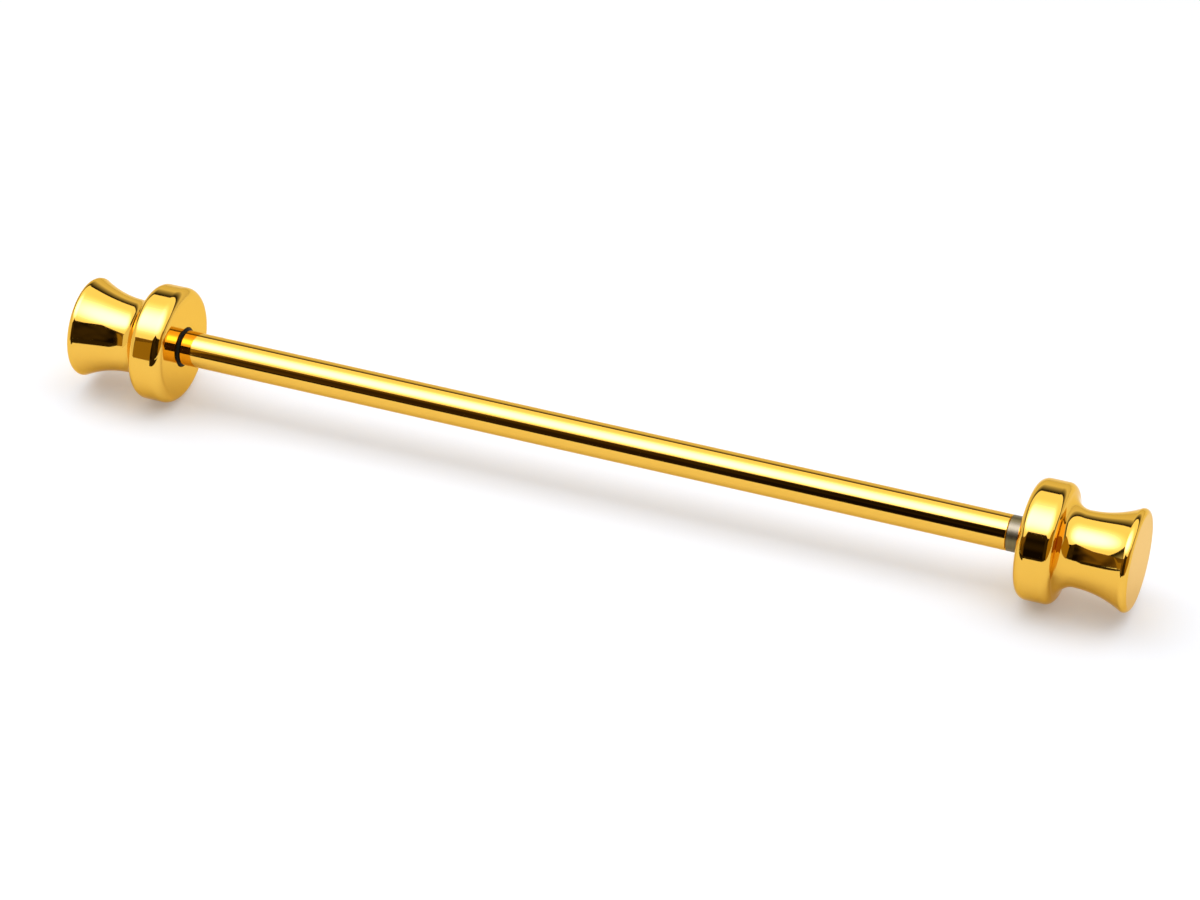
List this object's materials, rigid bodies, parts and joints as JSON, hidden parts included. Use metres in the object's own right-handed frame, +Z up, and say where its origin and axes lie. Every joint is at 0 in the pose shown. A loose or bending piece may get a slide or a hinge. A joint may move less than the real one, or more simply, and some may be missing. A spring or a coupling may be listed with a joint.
{
  "type": "collar bar",
  "caption": "Slim round bar with a turned, horn-shaped knob screwed on each end, worn through the eyelets of a shirt collar.",
  "frame": {"origin": "on the bar's axis, midway between the inner faces of the two knobs", "axes": "+X along the bar towards the knob with the steel spacer, +Z up"},
  "size_m": [0.0624, 0.0066, 0.0066],
  "materials": {
    "gold_plate": "brass, turned, polished and gold plated",
    "stainless_thread": "stainless steel with a rolled thread",
    "satin_steel": "stainless steel, fine turned, satin",
    "black_rubber": "moulded black rubber"
  },
  "bodies": {
    "bar": {"bar": "gold_plate", "left_stud": "stainless_thread", "right_stud": "stainless_thread"},
    "left_ring": {"rubber_o_ring": "black_rubber"},
    "left_knob": {"left_knob": "gold_plate"},
    "right_ring": {"steel_spacer": "satin_steel"},
    "right_knob": {"right_knob": "gold_plate"}
  },
  "joints": [
    {"name": "left_knob_turn", "type": "hinge", "parent": "bar", "child": "left_ring", "pos_m": [-0.025, 0, 0], "axis": [-1, 0, 0], "range_deg": [0, 4320]},
    {"name": "left_knob_travel", "type": "slide", "parent": "left_ring", "child": "left_knob", "axis": [-1, 0, 0], "range_m": [0, 0.003]},
    {"name": "right_knob_turn", "type": "hinge", "parent": "bar", "child": "right_ring", "pos_m": [0.025, 0, 0], "axis": [1, 0, 0], "range_deg": [0, 4320]},
    {"name": "right_knob_travel", "type": "slide", "parent": "right_ring", "child": "right_knob", "axis": [1, 0, 0], "range_m": [0, 0.003]}
  ],
  "couplings": [
    {"joint": "left_knob_turn", "follows": "left_knob_travel", "rad_per_m": 25133},
    {"joint": "right_knob_turn", "follows": "right_knob_travel", "rad_per_m": 25133}
  ]
}
